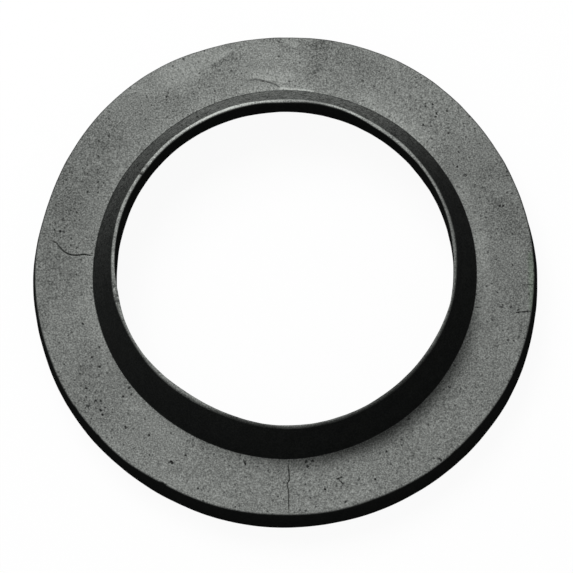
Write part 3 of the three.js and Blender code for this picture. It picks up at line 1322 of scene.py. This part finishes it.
@dataclass(frozen=True)
class BloomedRubber:
    """Black rubber with a chalky bloom: grey on the flange's face, brighter on the worn rim, with painted
    light and shade on the face beside the collar, on the rim and on the collar.

    Attributes:
        rubber: Colour of the bare rubber.
        chalk: Colour of the bloom where it covers the rubber.
        stained_chalk: Its colour in the faint green stain at the flange's edge.
        face_share: How much of the face the chalk covers.
        wall_share: How much of the walls, the bore and the underside it covers.
        marks: The marks on the flange's face.
        stain: Where the green stain is.
        bloom: How thick the bloom lies on the face.
        pores: The scattered pores.
        on_walls: How strongly the chalk of the walls follows the grain and the mottle.
        on_rim: How strongly the rim's chalk and its painted highlight follow them.
        on_collar: How strongly the collar's chalk and painted light follow them and the flecks.
        flake: Values of the flecks between which the torn rim has a flake of chalk.
        torn_chalk: What the torn rim's chalk gains beside its flakes and on them, as a share.
        relief: What the finish works into the surface.
        ragged: How far the edges of a crack wander.
        wobble: How far the edges of a pit or scratch wander.
        bare_roughness: Roughness of the bare rubber.
        rougher: How much rougher the bloom is.
        rougher_from: Shares of chalk between which the surface gets that rough.
        specular: Strength of the shine.
    """

    rubber: Colour = (0.0100, 0.0108, 0.0104)
    chalk: Colour = (0.590, 0.615, 0.585)
    stained_chalk: Colour = (0.545, 0.640, 0.530)
    face_share: float = 0.285
    wall_share: float = 0.005
    marks: tuple[Mark, ...] = PITS + SCRATCHES + CLOUDS + CROWDS
    stain: Mark = Mark((44.3, 3.2), (44.5, -6.6), 1.3)
    bloom: Bloom = Bloom()
    pores: Pores = Pores()
    on_walls: tuple[float, ...] = (9.0, 2.0)
    on_rim: tuple[float, ...] = (3.0, 0.9)
    on_collar: tuple[float, ...] = (4.8, 0.8, 2.2)
    flake: Span = (-0.06, 0.12)
    torn_chalk: Span = (-0.5, 0.8)
    relief: Relief = Relief()
    ragged: float = 0.12
    wobble: float = 0.18
    bare_roughness: float = 0.78
    rougher: float = 0.17
    rougher_from: Span = (0.02, 0.3)
    specular: float = 0.0

    def material(self, faults: Faults) -> bpy.types.Material:
        """Make the material.

        Args:
            faults: The ring's cracks and fold, which the finish darkens.

        Returns:
            The material.
        """
        material = bpy.data.materials.new("bloomed_rubber")
        material.use_nodes = True
        graph = Graph(material.node_tree)
        place = graph.scaled(graph.output(graph.node("ShaderNodeTexCoord"), "Object"), 1.0 / MM)
        grain = graph.noise(place, cell=0.27, roughness=0.6)
        mottle = graph.noise(place, cell=2.0)
        flecks = graph.noise(place, cell=0.55, detail=1.0)
        drift = graph.noise(place, cell=9.0, detail=1.0)

        flat = graph.vector_math("MULTIPLY", place, (1.0, 1.0, 0.0))
        wobble = self.wobble * graph.noise(place, cell=0.35, detail=1.0)
        masks = [(mark, mark.mask(graph, flat, wobble)) for mark in self.marks]
        crowding = sum(mask * mark.crowd for mark, mask in masks if mark.crowd)
        pores = self.pores.mask(graph, place, crowding)
        split = self.split(graph, place, faults)

        bloom = self.bloom.extra + (1.0 + self.bloom.grain * grain) ** 2.0
        bloom = bloom + self.bloom.mottle * mottle + self.bloom.drift * drift
        bloom = bloom + sum(mask * mark.bloom for mark, mask in masks if mark.bloom)
        # Scales the bloom by its unevenness round the ring and by the painted shade and highlight beside
        # the collar's foot.
        bloom = bloom * (1.0 + graph.attribute("bloom_and_painted_light"))
        # Darkens the bloom along the cracks, and paints shade in the fold's crease.
        bloom = bloom * (1.0 - pores) * (1.0 - self.bloom.split_darkening * split)

        face = graph.attribute("bloomed_face")
        share = face * self.face_share * graph.math("MAXIMUM", bloom, self.bloom.least)
        share = share + (1.0 - face) * self.wall_share * self.patchy(self.on_walls, grain, mottle)
        # The rim's chalk, with its painted highlight on the side of the lamp.
        rim = graph.attribute("rim_chalk_and_highlight") * self.patchy(self.on_rim, grain, mottle)
        share = share + rim * self.torn(graph, flecks)
        # The collar's chalk and painted light: high on its lit back, almost nil on its shaded front.
        collar = graph.attribute("collar_chalk_and_light") * self.patchy(self.on_collar, grain, mottle, flecks)
        share = share + graph.math("MAXIMUM", collar, 0.0)
        chalk = graph.mixed_colour(self.stain.mask(graph, flat, wobble), self.chalk, self.stained_chalk)

        sunk = sum(mask * mark.depth for mark, mask in masks if mark.depth)
        height = self.relief.grain * grain + self.relief.mottle * mottle
        height = height - (self.relief.pore * pores + sunk + self.relief.split * split) * face
        bump = graph.node("ShaderNodeBump", None, {"Strength": 1.0, "Distance": MM, "Height": height})
        shader = graph.node("ShaderNodeBsdfPrincipled", None, {
            "Base Color": graph.mixed_colour(share, self.rubber, chalk),
            "Roughness": self.bare_roughness + self.rougher * graph.step(share, *self.rougher_from),
            "Specular IOR Level": self.specular,
            "Normal": graph.output(bump),
        })
        graph.node("ShaderNodeOutputMaterial", None, {"Surface": graph.output(shader)})
        return material

    @staticmethod
    def patchy(strengths: tuple[float, ...], *noises: Socket) -> Socket:
        """Give what makes a coat patchy: 1 and each noise at its strength."""
        return 1.0 + sum(strength * noise for strength, noise in zip(strengths, noises))

    def torn(self, graph: Graph, flecks: Socket) -> Socket:
        """Give what the rim's chalk is multiplied by, as it comes off in flakes where the rim is torn.

        Args:
            graph: The material's graph.
            flecks: The noise that the flakes follow.

        Returns:
            1 where the rim is whole, and less or more where it is torn.
        """
        beside, on_flake = self.torn_chalk
        gain = beside + (on_flake - beside) * graph.step(flecks, *self.flake)
        return 1.0 + graph.attribute("torn_rim") * gain

    def split(self, graph: Graph, place: Socket, faults: Faults) -> Socket:
        """Draw the cracks and the fold as dark lines, ragged at their edges and fading at their ends; the
        fold's line is painted shade in its crease.

        Args:
            graph: The material's graph.
            place: Place in millimetres.
            faults: The ring's cracks and fold.

        Returns:
            How far a point is in a crack or the fold, from 0 to 1.
        """
        ragged = self.ragged * graph.noise(place, cell=0.5)
        total = 0.0
        for fault in faults.lines:
            line = fault.line
            along, across, _ = graph.parts(graph.attribute(fault.name, "Vector"))
            ends = graph.step(along, *line.rise) * graph.step(along, *line.fall)
            total = total + line.darkness * graph.step(abs(across + ragged), *line.edge) * ends
        return total


# Studio

@dataclass(frozen=True)
class Studio:
    """A pale floor, a white surround and soft light from behind on the left.

    Attributes:
        key_azimuth: Where the main lamp stands round the ring.
        key_elevation: How high it stands, in degrees.
        key_distance: How far away it is, in metres.
        key_size: Width of the lamp, in metres.
        key_level: Share of a colour's own brightness that the lamp gives a level face.
        fill_level: What the surround adds to that.
        floor_glow: Share of the floor's white that doesn't depend on the lamp, for a faint shadow.
        floor_half_width: Half the width of the floor, in metres.
        floor_drop: How far the floor lies below the ring.
        floor_bounce: Grey of the floor where it only lights the ring.
        camera_elevation: How high the camera stands, in degrees.
        camera_distance: How far it is from where it looks.
        camera_target: Where it looks on the floor.
        focal_pixels: The lens's focal length in pixels of the photograph.
        picture_width: The photograph's width in pixels.
        sensor_width: Width of the camera's sensor.
        nearest_seen: How far from the camera the view starts, in metres.
    """

    key_azimuth: float = 120.0
    key_elevation: float = 55.0
    key_distance: float = 0.8
    key_size: float = 0.45
    key_level: float = 0.65
    fill_level: float = 0.35
    floor_glow: float = 0.94
    floor_half_width: float = 3.0
    floor_drop: float = 0.05
    floor_bounce: float = 0.25
    camera_elevation: float = 73.46
    camera_distance: float = 1424.0
    camera_target: tuple[float, float] = (0.38, -0.38)
    focal_pixels: float = 7946.0
    picture_width: float = 573.0
    sensor_width: float = 36.0
    nearest_seen: float = 0.05

    def build(self) -> None:
        """Set up the whole studio."""
        self.place_camera()
        self.hang_key_lamp()
        self.light_surround()
        self.lay_floor()
        bpy.context.scene.view_settings.view_transform = "Standard"

    def place_camera(self) -> None:
        """Place the camera at the photograph's angle, looking along +Y and down."""
        lens = bpy.data.cameras.new("camera")
        lens.sensor_width = self.sensor_width
        lens.lens = self.focal_pixels / self.picture_width * self.sensor_width
        lens.clip_start = self.nearest_seen
        camera = bpy.data.objects.new("camera", lens)
        tilt = math.radians(self.camera_elevation)
        camera.location = (
            self.camera_target[0] * MM,
            (self.camera_target[1] - self.camera_distance * math.cos(tilt)) * MM,
            self.camera_distance * math.sin(tilt) * MM,
        )
        camera.rotation_euler = (math.pi / 2.0 - tilt, 0.0, 0.0)
        bpy.context.scene.collection.objects.link(camera)
        bpy.context.scene.camera = camera

    def hang_key_lamp(self) -> None:
        """Hang the main lamp so that a level face renders at its own colour times the lamp's level.

        A lamp of power P at distance d and elevation e lights a level face with P sin(e) / (pi d^2), and
        a colour renders as written under a light of pi.
        """
        height = math.sin(math.radians(self.key_elevation))
        lamp = bpy.data.lights.new("key_lamp", "AREA")
        lamp.shape = "SQUARE"
        lamp.size = self.key_size
        lamp.energy = self.key_level * (math.pi * self.key_distance) ** 2 / height
        key = bpy.data.objects.new("key_lamp", lamp)
        out = self.key_distance * math.cos(math.radians(self.key_elevation))
        azimuth = math.radians(self.key_azimuth)
        key.location = (out * math.cos(azimuth), out * math.sin(azimuth), self.key_distance * height)
        key.rotation_euler = (math.radians(90.0 - self.key_elevation), 0.0, azimuth + math.pi / 2.0)
        bpy.context.scene.collection.objects.link(key)

    def light_surround(self) -> None:
        """Make the world white where it is seen or mirrored, and a weak fill where it lights."""
        world = bpy.data.worlds.new("surround")
        world.use_nodes = True
        graph = Graph(world.node_tree)
        strength = self.fill_level + (1.0 - self.fill_level) * self.seen(graph)
        surround = graph.node("ShaderNodeBackground", None, {"Color": WHITE, "Strength": strength})
        graph.node("ShaderNodeOutputWorld", None, {"Surface": graph.output(surround)})
        bpy.context.scene.world = world

    @staticmethod
    def seen(graph: Graph) -> Socket:
        """Tell whether light is seen, or only gathered.

        Args:
            graph: The graph of the world or the floor.

        Returns:
            1 where a ray comes from the camera, a reflection or glass, and 0 elsewhere.
        """
        path = graph.node("ShaderNodeLightPath")
        mirrored = graph.math("MAXIMUM", graph.output(path, "Is Glossy Ray"),
                              graph.output(path, "Is Transmission Ray"))
        return graph.math("MAXIMUM", graph.output(path, "Is Camera Ray"), mirrored)

    def lay_floor(self) -> None:
        """Lay the floor just under the ring: white where it is seen, with the ring's faint shadow."""
        half = self.floor_half_width
        below = -self.floor_drop * MM
        mesh = bpy.data.meshes.new("floor")
        corners = [(-half, -half, below), (half, -half, below), (half, half, below), (-half, half, below)]
        mesh.from_pydata(corners, [], [(0, 1, 2, 3)])
        floor = bpy.data.objects.new("floor", mesh)
        bpy.context.scene.collection.objects.link(floor)

        material = bpy.data.materials.new("pale_floor")
        material.use_nodes = True
        graph = Graph(material.node_tree)
        paper = graph.node("ShaderNodeBsdfDiffuse", None, {"Color": WHITE})
        glow = graph.node("ShaderNodeEmission", None, {"Color": WHITE, "Strength": 1.0})
        grey = (self.floor_bounce, self.floor_bounce, self.floor_bounce, 1.0)
        dark = graph.node("ShaderNodeBsdfDiffuse", None, {"Color": grey})
        pale = graph.node("ShaderNodeMixShader", None, {
            0: self.floor_glow, 1: graph.output(paper), 2: graph.output(glow)})
        either = graph.node("ShaderNodeMixShader", None, {
            0: self.seen(graph), 1: graph.output(dark), 2: graph.output(pale)})
        graph.node("ShaderNodeOutputMaterial", None, {"Surface": graph.output(either)})
        mesh.materials.append(material)


def main() -> None:
    """Build the ring and the studio, and report each piece."""
    logging.basicConfig(level=logging.INFO, format="%(name)s: %(message)s")
    seal = BaseSeal().build(BloomedRubber())
    LOG.info("%s: %d faces", seal.name, len(seal.data.polygons))
    Studio().build()
    LOG.info("studio: camera, key lamp, surround and floor")


if __name__ == "__main__":
    main()
